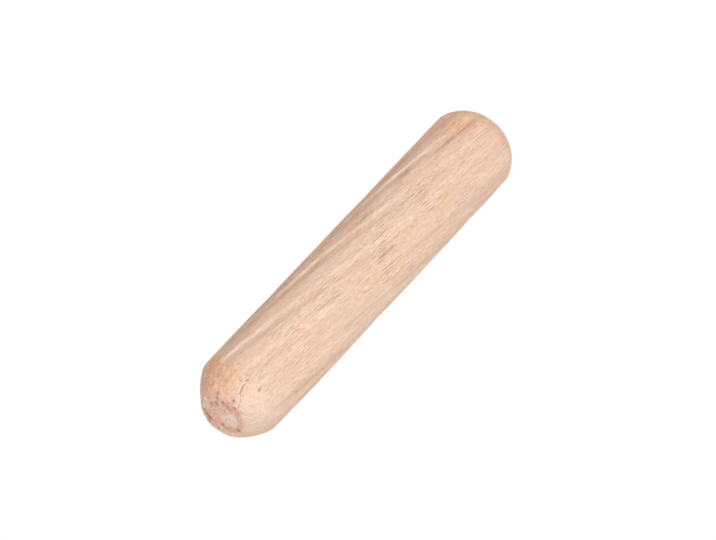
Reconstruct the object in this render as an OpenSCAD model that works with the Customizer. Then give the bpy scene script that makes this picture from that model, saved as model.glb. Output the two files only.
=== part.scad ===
// Fluted wooden dowel pin.
// A round hardwood shank with tapered ends, ringed by shallow helical grooves that let
// glue and air past it in its hole. It stands on its bottom end, with +Z along its axis
// and the origin at the middle of the bottom face. All sizes are in millimetres.

/* [Shank] */
// Diameter over the lands, which is the size of the hole that the pin is made for
shank_d = 8; // [6:0.5:12]
// Length from end face to end face
pin_l = 40; // [30:1:60]

/* [Ends] */
// Diameter of the sawn face at the top end
top_face_d = 4.4; // [3:0.1:5]
// Length of the taper below the top face
top_taper_l = 2.8; // [1.5:0.1:4]
// Diameter of the sawn face at the bottom end
bottom_face_d = 5.2; // [3:0.1:5.4]
// Length of the taper above the bottom face
bottom_taper_l = 2; // [1:0.1:4]
// How far each taper bulges out from a straight cone
taper_bulge = 0.2; // [0.05:0.05:0.3]

/* [Grooves] */
// Number of grooves round the shank
groove_count = 11; // [6:1:12]
// Width of a groove where it meets the lands
groove_w = 0.9; // [0.6:0.1:1.3]
// Depth of a groove below the lands
groove_depth = 0.14; // [0.1:0.02:0.4]
// Length of shank in which a groove makes one whole turn, right-handed
groove_lead = 150; // [80:5:400]
// Angle from +X at which a groove crosses the middle of the pin
groove_start = 14; // [0:1:59]

/* [Hidden] */

shank_r = shank_d / 2;
arc_fn = 128;

// A groove's section is an arc: its radius follows from the groove's width and depth.
land_dip = shank_r - sqrt(pow(shank_r, 2) - pow(groove_w / 2, 2));
groove_sag = groove_depth - land_dip;
groove_r = (pow(groove_w / 2, 2) + pow(groove_sag, 2)) / (2 * groove_sag);
// The arc is carried on past the lands so that the cutter comes out of the wood cleanly.
groove_over = 0.1;
groove_half_angle = acos(1 - (groove_sag + land_dip + groove_over) / groove_r);
groove_steps = 10;

// The cutters run past both end faces, with a slice for every few degrees of twist.
end_over = 1;
cutter_l = pin_l + 2 * end_over;
cutter_twist = 360 * cutter_l / groove_lead;
degrees_per_slice = 4;

// Quarter-plane profile of one end: a sawn face, and a taper whose side is an arc.
// It is drawn upwards from y = 0, where the taper leaves the shank.
module end_profile(face_r, taper_l) {
    drop = shank_r - face_r;
    chord = sqrt(pow(drop, 2) + pow(taper_l, 2));
    arc_r = (pow(chord / 2, 2) + pow(taper_bulge, 2)) / (2 * taper_bulge);
    reach = arc_r - taper_bulge;
    intersection() {
        square([shank_r, taper_l]);
        translate([(shank_r + face_r) / 2 - reach * taper_l / chord,
                   taper_l / 2 - reach * drop / chord])
            circle(r = arc_r, $fn = arc_fn);
    }
}

// The pin before its grooves are pressed, turned about its axis.
module blank() {
    rotate_extrude($fn = arc_fn)
        union() {
            translate([0, bottom_taper_l])
                square([shank_r, pin_l - top_taper_l - bottom_taper_l]);
            translate([0, pin_l - top_taper_l])
                end_profile(top_face_d / 2, top_taper_l);
            translate([0, bottom_taper_l])
                mirror([0, 1])
                    end_profile(bottom_face_d / 2, bottom_taper_l);
        }
}

// Section of one groove's cutter on the +X side: the arc at its root, open outwards.
function groove_section() = [
    for (i = [0 : groove_steps])
        let (a = groove_half_angle * (2 * i / groove_steps - 1))
        [shank_r - groove_depth + groove_r * (1 - cos(a)), groove_r * sin(a)]
];

// One helical cutter the length of the pin, passing through +X at the middle of the pin.
module groove_cutter() {
    translate([0, 0, -end_over])
        rotate([0, 0, -cutter_twist / 2])
            linear_extrude(height = cutter_l, twist = -cutter_twist,
                           slices = ceil(cutter_twist / degrees_per_slice))
                polygon(groove_section());
}

module dowel_pin() {
    color("burlywood")
        difference() {
            blank();
            for (i = [0 : groove_count - 1])
                rotate([0, 0, groove_start + i * 360 / groove_count])
                    groove_cutter();
        }
}

dowel_pin();
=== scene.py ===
# %% [markdown]
# # A fluted dowel pin
# The pin is one short stick of pale hardwood. A mill presses a ring of shallow helical grooves
# into it, cuts it to length with a saw, and turns a taper on each end so that it finds its hole.
# The whole look is in three things: the soft light and dark of the grooves, the grain that runs
# nearly along the stick, and the rough end where the fibres were cut across. This lesson builds
# the surface as a real mesh and then gives it a solid wood material.

# %% Load the frame
import math

import bpy
import numpy as np
from mathutils import Matrix, Vector, noise


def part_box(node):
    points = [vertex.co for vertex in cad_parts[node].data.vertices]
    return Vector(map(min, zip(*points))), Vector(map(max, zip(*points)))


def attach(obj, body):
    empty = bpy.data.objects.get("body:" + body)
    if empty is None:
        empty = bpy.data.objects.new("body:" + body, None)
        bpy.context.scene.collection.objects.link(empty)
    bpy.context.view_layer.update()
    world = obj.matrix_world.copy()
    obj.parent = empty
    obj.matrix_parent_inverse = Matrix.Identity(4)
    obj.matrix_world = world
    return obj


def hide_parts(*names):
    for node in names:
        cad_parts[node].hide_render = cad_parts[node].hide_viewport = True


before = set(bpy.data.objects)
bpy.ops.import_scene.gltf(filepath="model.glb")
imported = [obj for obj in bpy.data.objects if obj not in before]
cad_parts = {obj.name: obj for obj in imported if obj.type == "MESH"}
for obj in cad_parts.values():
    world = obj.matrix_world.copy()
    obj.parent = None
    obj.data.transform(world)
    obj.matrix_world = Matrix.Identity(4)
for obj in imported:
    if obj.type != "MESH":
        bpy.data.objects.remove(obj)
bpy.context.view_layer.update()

# %% [markdown]
# ## Sizes
# Everything is worked out in millimetres, because a pin is measured in them, and turned into
# metres only when the mesh is made. The overall size comes from the frame. The ends and the
# grooves repeat the part's own sizes: a taper is a slightly bulging cone, and a groove is an arc.

# %% Sizes of the pin
MM = 0.001
low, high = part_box("dowel_pin")
LENGTH = (high.z - low.z) / MM
RADIUS = (high.x - low.x) / 2 / MM

TOP_FACE_R = 2.2
TOP_TAPER = 2.8
BOTTOM_FACE_R = 2.6
BOTTOM_TAPER = 2.0
TAPER_BULGE = 0.2

GROOVES = 11
GROOVE_WIDTH = 0.9
GROOVE_DEPTH = 0.14
GROOVE_LEAD = 150.0
GROOVE_START = 14.0
print(f"pin {2 * RADIUS:.2f} mm thick and {LENGTH:.2f} mm long")

# %% [markdown]
# ## The turned outline
# A lathe would make the blank from one outline, so the mesh starts the same way: rings of
# vertices from the middle of the bottom face, out to its rim, up the side and in again to the
# middle of the top face. The rings stand closest where there is most to show, on the end that
# faces the viewer, and round a ring the vertices crowd towards the front for the same reason.
# Each bulging taper is an arc through its two rims.

# %% Rings of the blank
FRONT = math.radians(-90)
AROUND = 352
CROWDING = 0.3
FACE_RINGS = 30
TAPER_RINGS = 52
SHANK_RINGS = 158
LOW_FACE_RINGS = 8
LOW_TAPER_RINGS = 24


def taper_arc(face_r, length, count):
    """Radius and height above the shank's end of points up a taper's bulging side."""
    drop = RADIUS - face_r
    chord = math.hypot(drop, length)
    share = np.linspace(0, 1, count)
    bulge = 4 * share * (1 - share) * TAPER_BULGE
    radius = RADIUS - share * drop + bulge * length / chord
    return radius, share * length + bulge * drop / chord


def outline():
    """Radius, height and zone of every ring, from the bottom's middle to the top's middle."""
    low_r, low_rise = taper_arc(BOTTOM_FACE_R, BOTTOM_TAPER, LOW_TAPER_RINGS)
    top_r, top_rise = taper_arc(TOP_FACE_R, TOP_TAPER, TAPER_RINGS)
    shank_low, shank_high = BOTTOM_TAPER, LENGTH - TOP_TAPER
    low_face = np.linspace(0, BOTTOM_FACE_R, LOW_FACE_RINGS + 1)[1:-1]
    top_face = np.linspace(TOP_FACE_R, 0, FACE_RINGS + 1)[1:-1]
    shank_z = np.linspace(shank_low, shank_high, SHANK_RINGS)[1:-1]
    radius = [low_face, low_r[::-1], np.full(len(shank_z), RADIUS), top_r, top_face]
    height = [np.zeros(len(low_face)), shank_low - low_rise[::-1], shank_z,
              shank_high + top_rise, np.full(len(top_face), LENGTH)]
    zone = [np.full(len(part), number) for number, part in enumerate(radius)]
    return np.concatenate(radius), np.concatenate(height), np.concatenate(zone)


ring_r, ring_z, ring_zone = outline()
even = np.arange(AROUND) * 2 * math.pi / AROUND - math.pi
angle = FRONT + even - CROWDING * np.sin(even)
print(f"{len(ring_r)} rings of {AROUND}: {2 * len(ring_r) * AROUND} triangles")

# %% [markdown]
# ## Noise along the grain
# Wood is a bundle of tubes, so almost every unevenness in it is long and thin: it changes fast
# across the stick and slowly along it. One helper reads Blender's noise at points that are
# squeezed along the grain. The grain isn't quite parallel to the stick, because the board that
# it was cut from was not either, so the points are first tilted by a few degrees.

# %% Grain frame and noise helper
UP = Vector((0, 0, 1))
GRAIN_AXIS = Vector((0.07, -0.03, 1.0)).normalized()
TO_GRAIN = GRAIN_AXIS.rotation_difference(UP).to_matrix()
SEED_STEP = 7.31


def noise_at(points, across, along, seed, octaves=1):
    """Noise from -1 to 1 at points in mm, with features of the given size across and along."""
    squeezed = points @ np.array(TO_GRAIN).T / (across, across, along) + seed * SEED_STEP
    if octaves == 1:
        return np.array([noise.noise(p) for p in squeezed])
    return np.array([noise.fractal(p, 1.0, 2.0, octaves) for p in squeezed])


def plain_noise(points, size, seed, octaves=1):
    """Noise with no direction, for what a tool or a knock did and not the wood's growth."""
    return noise_at(points, size, size, seed, octaves)


print(f"the grain leans by {math.degrees(GRAIN_AXIS.angle(UP)):.1f} degrees")

# %% [markdown]
# ## The pressed grooves
# A groove is a shallow arc pressed into the shank, and its lips are a little soft because wood
# springs back. The grooves run out where a taper dips below their root. A Boolean modifier could
# cut them, but it leaves knife-sharp lips and a tangle of thin faces, which spoils fine relief.
# Here a groove is a second radius at each vertex, and the surface takes whichever of the two radii
# is smaller, blended over a few hundredths of a millimetre.

# %% Arc of a groove
LIP_SOFTNESS = 0.025
ARC_SHARE = 0.9
PAST_ARC_SLOPE = 2
land_dip = RADIUS - math.sqrt(RADIUS ** 2 - (GROOVE_WIDTH / 2) ** 2)
sag = GROOVE_DEPTH - land_dip
groove_r = ((GROOVE_WIDTH / 2) ** 2 + sag ** 2) / (2 * sag)


def from_groove(theta, z):
    """Arc length in mm, with its sign, from each point to the middle of the nearest groove."""
    pitch = 2 * math.pi / GROOVES
    turned = theta - math.radians(GROOVE_START) - 2 * math.pi * (z - LENGTH / 2) / GROOVE_LEAD
    return ((turned + pitch / 2) % pitch - pitch / 2) * RADIUS


def groove_floor(offset, depth):
    """Radius of the groove's arc at an offset from its middle, rising steeply past its lips."""
    inside = np.minimum(np.abs(offset), ARC_SHARE * groove_r)
    rise = groove_r - np.sqrt(groove_r ** 2 - inside ** 2)
    return RADIUS - depth + rise + PAST_ARC_SLOPE * (np.abs(offset) - inside)


def soft_min(a, b, softness):
    """The smaller of two radii, with the corner where they meet rounded off."""
    return -softness * np.logaddexp(-a / softness, -b / softness)


print(f"a groove is an arc of {groove_r:.2f} mm radius, {GROOVE_DEPTH} mm deep")

# %% [markdown]
# ## Places on the surface
# Now the rings become a surface: a grid with a row for each ring and a column for each angle.
# A place on the side is given as a maker would give it, in degrees round from the front and in
# millimetres up from the bottom. Sculpting by hand could put wear anywhere too, but a place that is
# written down can be moved, and it comes out the same each time. A few helpers turn such places
# into soft spots and smooth steps.

# %% Grid of the surface
LOW_FACE, LOW_TAPER, SHANK, HIGH_TAPER, TOP_FACE = range(5)
theta = np.tile(angle, (len(ring_r), 1))
z = np.repeat(ring_z[:, None], AROUND, axis=1)
zone = np.repeat(ring_zone[:, None], AROUND, axis=1)
side = (zone >= LOW_TAPER) & (zone <= HIGH_TAPER)
facing = (theta - FRONT + math.pi) % (2 * math.pi) - math.pi
print("vertices on the rings:", theta.size)

# %% Helpers for places
def spread(values):
    """Values of every vertex, put back in the shape of the grid."""
    return values.reshape(theta.shape)


def ramp(value, start, end):
    """0 before start, 1 after end, and a smooth step between them."""
    share = np.clip((value - start) / (end - start), 0, 1)
    return share * share * (3 - 2 * share)


def zero_to_one(values):
    """Values from -1 to 1, moved to the range from 0 to 1."""
    return 0.5 + 0.5 * values


def turned_from(turn):
    """Angle in radians, with its sign, from a line the given degrees round from the front."""
    return (facing - np.radians(turn) + math.pi) % (2 * math.pi) - math.pi


def off_front(start, end):
    """0 in front, and 1 beyond the end, in degrees round to either side."""
    return ramp(np.abs(facing), math.radians(start), math.radians(end))


def blob(turn, height, wide, tall):
    """Strength from 0 to 1 round a place on the side, given in degrees and mm."""
    return np.exp(-(turned_from(turn) / math.radians(wide)) ** 2 - ((z - height) / tall) ** 2)


def blobs(places):
    """One layer for each (degrees round from the front, height, degrees wide, mm tall, strength)."""
    return np.array([strength * blob(*place_and_size) for *place_and_size, strength in places])


# %% [markdown]
# ## The blank
# The cone of the top taper sits a little off centre, as most do, so the cutter took less off the
# front: there the shank runs further up and the taper is shorter. The blank's radius is kept below
# the shank's everywhere, because a cutter only takes wood away, and in a few places it took a
# little more and left the side flatter.

# %% Radius of the blank
FULLNESS = 0.27
RIM_FULLNESS = 0.20
FULLNESS_FOCUS = 1.5
TAPER_START = 0.12
# Each is (degrees round from the front, height, degrees wide, mm tall, depth).
FLATS = [(112, 39.15, 50, 1.25, 0.21), (-100, 37.5, 45, 1.9, 0.10), (-95, 2.8, 45, 1.2, 0.06)]
outwards = ring_r[:, None] / TOP_FACE_R
fuller = np.clip(np.cos(facing), 0, 1) ** FULLNESS_FOCUS
up_taper = np.clip((z - LENGTH + TOP_TAPER) / TOP_TAPER, 0, 1)
extra = fuller * (FULLNESS + (RIM_FULLNESS - FULLNESS) * up_taper) * (zone == HIGH_TAPER)
extra += fuller * RIM_FULLNESS * outwards * (zone == TOP_FACE)
blank_r = np.minimum(RADIUS, ring_r[:, None] + extra)
blank_r = blank_r - blobs(FLATS).sum(axis=0) * np.where(zone == TOP_FACE, outwards, 1)
place = np.stack([blank_r * np.cos(theta), blank_r * np.sin(theta), z], axis=-1).reshape(-1, 3)
tapered = ramp(RADIUS - blank_r, 0.0, TAPER_START)
top_rim_r = blank_r[side][-AROUND:]
print(f"radius of the top rim: {top_rim_r.min():.2f} to {top_rim_r.max():.2f} mm")

# %% Grooves, pressed unevenly
GROOVE_DRIFT = 0.05
USUAL_DEPTH = 0.95
DEPTH_CHANGE = 0.35
groove_drift = GROOVE_DRIFT * spread(noise_at(place, 3.0, 9.0, seed=1))
unevenness = spread(noise_at(place, 1.6, 6.0, seed=2))
groove_depth = GROOVE_DEPTH * (USUAL_DEPTH + DEPTH_CHANGE * unevenness)
offset = from_groove(theta, z) + groove_drift
side_r = soft_min(blank_r, groove_floor(offset, groove_depth), LIP_SOFTNESS)
print(f"deepest groove: {(RADIUS - side_r[zone == SHANK]).max():.3f} mm")

# %% [markdown]
# Three more layers are taken off: a slow unevenness of the pressed lands, thin ridges where hard
# and soft fibres were pressed unequally, and the marks of the cutter that turned the tapers. All
# of them are hundredths of a millimetre, which is what lets light catch on bare wood. What is finer
# than the mesh is left to a bump in the material. The cutter tore one side of the top taper and cut
# the other side clean, so its tears have a side too.

# %% Fibre relief
LAND_SWELL = 0.015
FIBRE_RELIEF = 0.008
FINE_RELIEF = 0.006
TURNED_SMOOTHER = 0.6
swell = LAND_SWELL * spread(noise_at(place, 1.3, 9.0, seed=3))
fibres = FIBRE_RELIEF * spread(noise_at(place, 0.26, 5.0, seed=4))
fibres += FINE_RELIEF * spread(noise_at(place, 0.13, 1.2, seed=5))
fibres *= 1 - TURNED_SMOOTHER * tapered
print(f"fibre relief: {fibres.min():.3f} to {fibres.max():.3f} mm")

# %% Cutter marks and tears
CUTTER_PITCH = 0.31
CUTTER_DEPTH = 0.012
CUTTER_WANDER = 0.25
TEAR_DEPTH = 0.10
CLEAN_SIDE = 0.03
TORN_FROM, TORN_TO = math.radians(-12), math.radians(28)
along_taper = LENGTH - z + CUTTER_WANDER * spread(plain_noise(place, 3.0, seed=6))
cutter = CUTTER_DEPTH * np.sin(2 * math.pi * along_taper / CUTTER_PITCH)
torn = np.clip(spread(plain_noise(place, 0.5, seed=7, octaves=3)), -1, 1)
torn_side = ramp(facing, TORN_FROM, TORN_TO)
tears = TEAR_DEPTH * (CLEAN_SIDE + (1 - CLEAN_SIDE) * torn_side) * torn
relief = swell + fibres + tapered * (cutter + tears)
side_r = side_r - np.clip(relief + LAND_SWELL, 0, None)
print(f"deepest tear: {(tapered * tears).max():.3f} mm")

# %% [markdown]
# ## Pores and their walls
# Cut along its length, a vessel of the wood shows as a short dark dash that follows the grain and
# not the stick, and the torn wall beside it catches the light as a pale dash. A texture can scatter
# such dashes, and the material has one that does, but it can't put them where a stick has them.
# So each dash that shows is drawn onto the rings that it crosses, in one of two layers. The layers
# are kept as masks, so that the material can darken the pores, partly as their own colour and partly
# as painted shade of their depth, and lighten the walls as a painted highlight. The vertices stand
# further apart behind, so a dash is drawn wider there.

# %% A dash along the grain
DASH_WIDTH = 0.038
DASH_WAVER = 0.03
THIN_END = 0.6
DASH_SEED = 40
grain_slope = (-np.sin(theta) * GRAIN_AXIS.x + np.cos(theta) * GRAIN_AXIS.y) / GRAIN_AXIS.z
waver = DASH_WAVER * spread(noise_at(place, 0.9, 2.0, seed=14))
coarse = 1 + CROWDING * (1 - np.cos(facing))
pore_and_shade = np.zeros(theta.shape)
fibre_highlight = np.zeros(theta.shape)
rng = np.random.default_rng(DASH_SEED)


def round_from(turn):
    """Arc length in mm from a line that lies the given degrees round from the front."""
    return turned_from(turn) * RADIUS


def add_dash(layer, turn, height, length, strength, shift=0.0):
    """Draw one thin dash along the grain into a layer, on the rings that it crosses."""
    rows = np.abs(ring_z - height) < length / 2
    along = z[rows] - height
    across = round_from(turn)[rows] - grain_slope[rows] * along + waver[rows] - shift
    taper = np.clip(1 - (2 * along / length) ** 4, 0, 1)
    thick = DASH_WIDTH * coarse[rows] * (THIN_END + (1 - THIN_END) * taper)
    layer[rows] = np.maximum(layer[rows], strength * taper * np.exp(-(across / thick) ** 2))


print(f"a dash is {2 * DASH_WIDTH:.2f} mm wide, and behind {2 * DASH_WIDTH * coarse.max():.2f} mm")

# %% [markdown]
# Pores come in groups, where the cut ran level with a layer of the wood that is rich in vessels.
# Only the groups have set places, and a seeded generator draws the dashes of each one. Round a
# group all the grain is livelier, and a third mask tells the material so.

# %% Groups of dashes
# Each group is (degrees round from the front, height, degrees wide, mm tall, dashes, strength).
GRAIN_GROUPS = [
    (0, 27, 5, 4.0, 8, 0.8), (18, 26, 7, 4.0, 7, 0.6), (-45, 27, 6, 4.0, 6, 0.7),
    (-8, 19, 14, 2.5, 11, 0.8), (-33, 19.5, 9, 2.5, 7, 0.75), (14, 18, 12, 2.5, 9, 0.7),
    (14, 12.5, 12, 3.0, 10, 0.7), (-8, 11.5, 8, 3.0, 6, 0.65), (-43, 10, 8, 4.0, 6, 0.65),
    (30, 5, 8, 4.0, 6, 0.7), (2, 6, 8, 5.0, 7, 0.7), (15, 32, 12, 3.0, 9, 0.65),
    (-25, 33, 16, 5.0, 8, 0.4), (45, 12, 10, 4.0, 4, 0.6), (68, 25, 8, 14.0, 6, 0.7),
    (115, 29, 13, 3.0, 8, 0.7), (150, 20.5, 16, 3.4, 10, 0.8), (-170, 12, 13, 2.8, 8, 0.7),
    (-120, 24, 13, 3.2, 8, 0.7), (-95, 33, 10, 2.0, 6, 0.6), (-140, 6.5, 10, 2.2, 6, 0.7),
    (90, 9, 10, 2.6, 6, 0.7), (175, 30, 13, 2.4, 8, 0.7),
]
# Beside each pore a pale dash is drawn where its torn wall would catch the light, as a painted
# highlight.
HIGHLIGHT_SHIFT = 0.095
HIGHLIGHT_STRETCH = 1.3
for turn, height, wide, tall, count, strength in GRAIN_GROUPS:
    for _ in range(count):
        where = turn + wide * rng.uniform(-1, 1)
        middle = height + tall * rng.uniform(-0.5, 0.5)
        long = rng.uniform(0.4, 1.5)
        weight = strength * rng.uniform(0.5, 1.0)
        highlight_middle = middle + rng.uniform(-0.3, 0.3)
        add_dash(pore_and_shade, where, middle, long, weight)
        add_dash(fibre_highlight, where, highlight_middle, HIGHLIGHT_STRETCH * long, weight, HIGHLIGHT_SHIFT)

LIVELY = 0.8
LIVELY_MARGIN = 2
LIVELY_TALL = 0.6
group_blobs = blobs([(turn, height, wide + LIVELY_MARGIN, LIVELY_TALL * tall, LIVELY * strength)
                     for turn, height, wide, tall, _, strength in GRAIN_GROUPS])
lively = np.clip(group_blobs.sum(axis=0), 0, 1)
print(sum(group[4] for group in GRAIN_GROUPS), "pores in", len(GRAIN_GROUPS), "groups")

# %% [markdown]
# A few long dashes stand out from their groups, so they have places of their own. Many faint ones
# are scattered over the rest of the pin, where they are seen as texture more than one by one.

# %% Long dashes and scattered ones
# Each is (degrees round from the front, height, length, strength).
LONG_PORES = [(1, 27, 2.2, 0.8), (-25, 19, 3.2, 0.8), (-43, 25, 5.0, 0.4), (18, 27.5, 2.2, 0.6),
              (-9, 19.5, 1.4, 0.9), (10, 18, 1.5, 0.8), (28, 4, 1.3, 0.8), (-15, 34.5, 3.0, 0.3)]
# The long pale dashes are painted highlights of torn walls.
LONG_HIGHLIGHTS = [(0, 28.5, 3.2, 1.0), (-6, 27.5, 3.2, 0.9), (-8, 25, 1.8, 1.0), (-12, 19.5, 2.1, 0.8),
              (15, 34, 2.6, 0.6), (-8, 37, 2.0, 0.9), (-16, 34, 2.7, 0.4), (-49, 24.5, 1.6, 0.7)]
for turn, height, length, strength in LONG_PORES:
    add_dash(pore_and_shade, turn, height, length, strength)
for turn, height, length, strength in LONG_HIGHLIGHTS:
    add_dash(fibre_highlight, turn, height, length, strength)

SMALL_PORES = 420
# The scattered pale dashes go into the same layer of painted highlight.
PALE_HIGHLIGHTS = 300
for _ in range(SMALL_PORES):
    turn, height = rng.uniform(-180, 180), rng.uniform(1.0, LENGTH - 2.0)
    add_dash(pore_and_shade, turn, height, rng.uniform(0.3, 1.4), rng.uniform(0.12, 0.45))
for _ in range(PALE_HIGHLIGHTS):
    turn, height = rng.uniform(-180, 180), rng.uniform(1.0, LENGTH - 1.5)
    add_dash(fibre_highlight, turn, height, rng.uniform(0.8, 3.4), rng.uniform(0.20, 0.65))
print(len(LONG_PORES + LONG_HIGHLIGHTS), "long dashes,", SMALL_PORES + PALE_HIGHLIGHTS, "scattered ones")

# %% [markdown]
# On the top taper the cutter went across the grain, and the fibres broke into short flecks that
# point every way. A few have places, beside the split and along the rim. The others are drawn by
# the generator, on the side that the cutter tore. The pale flecks join the layer of painted
# highlights, and the two long ones on the clean side are painted sheen.

# %% Flecks of the turned taper
FLECK_WIDTH = 0.045
TORN_FLECKS = 180


def add_fleck(layer, turn, height, long, wide, lean, strength):
    """Draw one short mark into a layer, leaning from the pin's axis by an angle in radians."""
    rows = np.abs(ring_z - height) < 3 * long
    up, across = z[rows] - height, round_from(turn)[rows]
    u = up * math.cos(lean) + across * math.sin(lean)
    v = across * math.cos(lean) - up * math.sin(lean)
    layer[rows] = np.maximum(layer[rows], strength * np.exp(-(u / long) ** 2 - (v / wide) ** 2))


# Each is (degrees round from the front, height, length, width, lean in degrees, strength).
PALE_FLECK_HIGHLIGHTS = [(8, 39.9, 0.16, 0.06, 50, 1.0), (-4, 39.7, 0.18, 0.06, 25, 0.8),
               (14, 38.8, 0.14, 0.06, 70, 0.9), (11, 38.35, 0.16, 0.05, 80, 0.9),
               (20, 37.7, 0.20, 0.05, 10, 0.8), (55, 37.4, 0.15, 0.08, 0, 0.9),
               (-37, 39.8, 0.24, 0.06, 54, 0.9), (-43, 39.5, 0.22, 0.07, 48, 0.5),
               (-68, 39, 0.36, 0.09, -10, 0.8), (-76, 38.9, 0.34, 0.09, -10, 0.7)]
DARK_FLECKS = [(14, 38.4, 0.12, 0.05, 85, 0.7), (30, 37.3, 0.22, 0.06, 12, 0.65),
               (-29, 39.9, 0.16, 0.05, 40, 0.5), (-36, 39.4, 0.30, 0.06, 27, 0.35),
               (-72, 39, 0.32, 0.07, -10, 0.35), (-45, 39.2, 0.20, 0.06, 45, 0.25)]
for turn, height, long, wide, lean, strength in PALE_FLECK_HIGHLIGHTS:
    add_fleck(fibre_highlight, turn, height, long, wide, math.radians(lean), strength)
for turn, height, long, wide, lean, strength in DARK_FLECKS:
    add_fleck(pore_and_shade, turn, height, long, wide, math.radians(lean), strength)
for number in range(TORN_FLECKS):
    turn, height = rng.uniform(-6, 100), rng.uniform(37.5, 40.0)
    long, lean = rng.uniform(0.06, 0.17), rng.uniform(-1.3, 1.3)
    layer, faint, strong = (fibre_highlight, 0.3, 0.8) if number % 2 else (pore_and_shade, 0.15, 0.45)
    add_fleck(layer, turn, height, long, FLECK_WIDTH, lean, rng.uniform(faint, strong))
print(len(PALE_FLECK_HIGHLIGHTS + DARK_FLECKS), "placed flecks and", TORN_FLECKS, "drawn ones")

# %% Depth of the pores
# Pores are dented by this depth, and the material also darkens them as painted shade of it.
PORE_DEPTH = 0.045
pore_and_shade = np.where(side, pore_and_shade, 0)
fibre_highlight = np.where(side, fibre_highlight * (1 - pore_and_shade), 0)
side_r = side_r - PORE_DEPTH * pore_and_shade
print(f"average over the side: pores {pore_and_shade[side].mean():.3f}, walls {fibre_highlight[side].mean():.3f}")

# %% [markdown]
# ## Burst fibres and painted highlights
# The press also burst some fibres along one wall of each groove, the wall that its tooth leaned on.
# They stand pale and broken there, in up to three strands side by side, which draws the groove as
# a bright thread. That pale colour is partly the fibres' own and partly a painted highlight of the
# groove wall catching the light. The threads fade out between the stretches where the press leaned
# hardest. Hair particles could stand up as fibres do, but these lie flat, so a low ridge with a mask
# is enough.

# %% Burst fibres and painted highlights on the groove walls
# Each strand is (mm from the groove's middle, width, strength).
STRANDS = [(0.22, 0.045, 0.70), (0.39, 0.052, 1.0), (0.57, 0.045, 0.75)]
# Each run is (degrees round from the front, height, mm tall, strength).
BURST_RUNS = [(54, 24, 3.6, 1.0), (32, 16, 3.6, 0.9), (8, 4.7, 1.5, 0.8), (57, 11.5, 3.0, 1.0),
              (48, 8, 1.6, 0.6), (51, 36, 1.7, 1.0), (43, 34, 1.2, 1.0), (33, 30, 3.2, 0.55),
              (17, 22.5, 2.5, 0.9), (8, 18.5, 1.8, 0.8), (-5, 27, 2.8, 0.4), (14, 34, 1.8, 0.4),
              (110, 26, 6, 0.8), (150, 14, 6, 0.9), (-160, 28, 7, 0.9), (-110, 16, 6, 0.8),
              (140, 33, 3, 0.8), (-175, 11, 4, 0.8), (-135, 7, 3, 0.7), (-75, 31, 5, 0.5)]
RUN_WIDE = 16
THREAD_WANDER = 0.07
BETWEEN_RUNS = 0.15
IN_RUNS = 0.95
BROKEN_BELOW, WHOLE_ABOVE = -0.60, 0.05
BURST_HEIGHT = 0.035
run = blobs([(turn, height, RUN_WIDE, tall, strength)
             for turn, height, tall, strength in BURST_RUNS]).max(axis=0)
thread_at = offset + THREAD_WANDER * spread(noise_at(place, 2.0, 5.0, seed=18))
flank = off_front(38, 58)
burst_highlight = np.zeros(theta.shape)
for number, (at, width, strength) in enumerate(STRANDS):
    patchy = spread(noise_at(place, 0.5, 2.2, seed=20 + number, octaves=2))
    whole = ramp(patchy, BROKEN_BELOW, WHOLE_ABOVE)
    # The first strand fades out towards the flanks of the pin, and the others grow wider there.
    there = strength * (1 - flank) if number == 0 else strength
    line = np.exp(-((thread_at - at) / width / (1 + flank)) ** 2)
    burst_highlight = np.maximum(burst_highlight, there * whole * line)
# The burst mask also marks a painted highlight, where the groove wall catches the light.
burst_highlight = np.where(side, burst_highlight * (BETWEEN_RUNS + IN_RUNS * run), 0) * (1 - tapered)
side_r = np.minimum(side_r + BURST_HEIGHT * burst_highlight, RADIUS)
print(f"burst fibres stand up to {BURST_HEIGHT * burst_highlight.max():.3f} mm high")

# %% [markdown]
# ## A split and chips
# The split on the front of the top taper tore up to the rim when the taper was turned. It wanders,
# it opens and closes, and beside it a lip of wood stands up a little, so it is a line of a few
# points with a strength at each. Where a groove meets the taper, the cutter broke small chips out
# of its lips, and each chip is one soft bite. The split and the chips are also darkened as painted
# shade, and the lip is lightened as a painted highlight.

# %% The split
# Each is (degrees round from the front, height, strength), from its low end up to the rim.
SPLIT = [(7.5, 37.8, 0.0), (8, 38.05, 1.0), (7.5, 38.3, 0.3), (6.5, 38.65, 0.9), (4, 39.1, 1.0),
         (0, 39.3, 0.35), (-8, 39.65, 0.35), (-12, 39.85, 0.8), (-14, 40.0, 0.3)]
SPLIT_WIDTH = 0.060
SPLIT_DEPTH = 0.09
SPLIT_WANDER = 0.08
LIP_OFFSET = 0.11
LIP_HEIGHT = 0.03
split_turns, split_heights, split_strengths = zip(*SPLIT)
split_line = turned_from(np.interp(z, split_heights, split_turns)) * blank_r
split_line += SPLIT_WANDER * spread(plain_noise(place, 0.35, seed=8))
reach = np.interp(z, split_heights, split_strengths)
reach = np.where(side & (z > split_heights[0]), reach, 0)
split = reach * np.exp(-(split_line / SPLIT_WIDTH) ** 2)
raised = (reach > 0) * np.exp(-((split_line - LIP_OFFSET) / SPLIT_WIDTH) ** 2)
side_r = side_r - SPLIT_DEPTH * split + LIP_HEIGHT * raised
print(f"the split runs over {split_heights[-1] - split_heights[0]:.1f} mm")

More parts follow.
